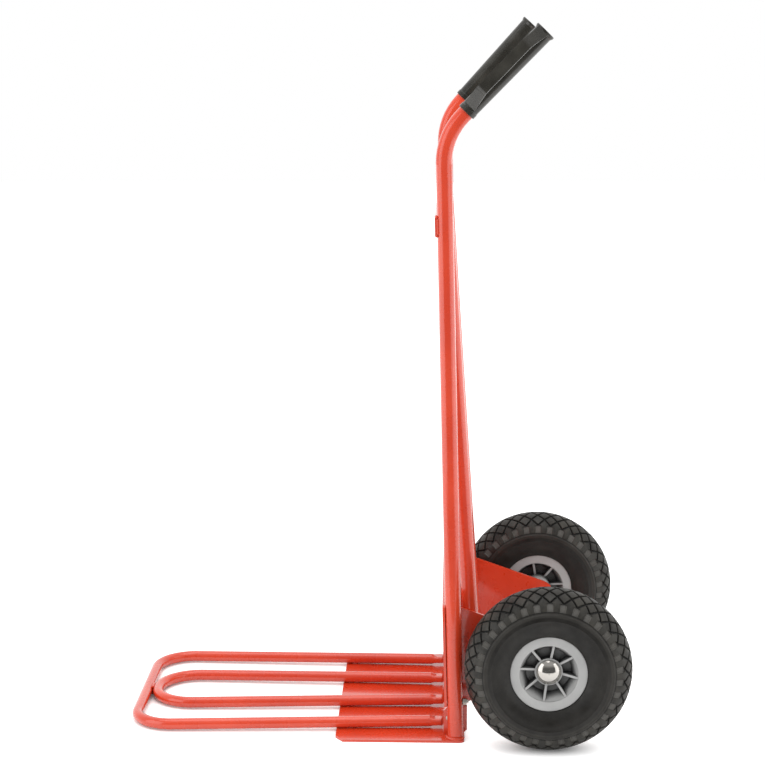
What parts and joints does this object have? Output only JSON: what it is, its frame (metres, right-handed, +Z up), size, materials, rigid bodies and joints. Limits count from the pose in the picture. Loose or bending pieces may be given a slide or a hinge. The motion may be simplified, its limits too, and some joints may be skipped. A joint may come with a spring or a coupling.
{
  "type": "sack truck",
  "caption": "Steel-tube sack truck with bent handles, guarded grips, back plate, toe plate, fold-down wire toe extension and spoked pneumatic wheels.",
  "frame": {"origin": "middle of the toe plate's underside, on the floor", "axes": "+X to the truck's left side, +Y to the rear where the wheels and the user are, +Z up"},
  "size_m": [0.5344, 0.7983, 1.1169],
  "materials": {
    "red_coat": "gloss powder coat",
    "zinc": "zinc plated",
    "chrome": "polished",
    "grip_plastic": "satin",
    "plug_plastic": "satin",
    "tyre_rubber": "matt",
    "tube_rubber": "matt",
    "rim_plastic": "satin",
    "bush_plastic": "satin"
  },
  "bodies": {
    "frame": {"axle": "zinc", "axle_spacers": "zinc", "axle_washers": "zinc", "back_plate": "red_coat", "hinge_rod": "zinc", "hinge_sleeves": "zinc", "left_grip": "grip_plastic", "left_gusset": "red_coat", "left_hinge_lug": "red_coat", "left_hub_cap": "chrome", "left_side_tube": "red_coat", "left_stay": "red_coat", "plate_nuts": "zinc", "plate_screws": "zinc", "right_grip": "grip_plastic", "right_gusset": "red_coat", "right_hinge_lug": "red_coat", "right_hub_cap": "chrome", "right_side_tube": "red_coat", "right_stay": "red_coat", "stay_plugs": "plug_plastic", "toe_plate": "red_coat", "top_crossbar": "red_coat"},
    "left_wheel": {"left_tyre": "tyre_rubber", "left_inner_tube": "tube_rubber", "left_rim_outer": "rim_plastic", "left_rim_inner": "rim_plastic", "left_wheel_bushes": "bush_plastic"},
    "right_wheel": {"right_tyre": "tyre_rubber", "right_inner_tube": "tube_rubber", "right_rim_outer": "rim_plastic", "right_rim_inner": "rim_plastic", "right_wheel_bushes": "bush_plastic"},
    "toe_extension": {"outer_loop": "red_coat", "inner_loop": "red_coat", "loop_knuckles": "red_coat"}
  },
  "joints": [
    {"name": "left_wheel_spin", "type": "hinge", "parent": "frame", "child": "left_wheel", "pos_m": [0.2256, 0.231, 0.13], "axis": [1, 0, 0], "continuous": true},
    {"name": "right_wheel_spin", "type": "hinge", "parent": "frame", "child": "right_wheel", "pos_m": [-0.2256, 0.231, 0.13], "axis": [1, 0, 0], "continuous": true},
    {"name": "extension_fold", "type": "hinge", "parent": "frame", "child": "toe_extension", "pos_m": [0, 0.07657, 0.03094], "axis": [-1, 0, 0], "range_deg": [0, 88.5]}
  ]
}
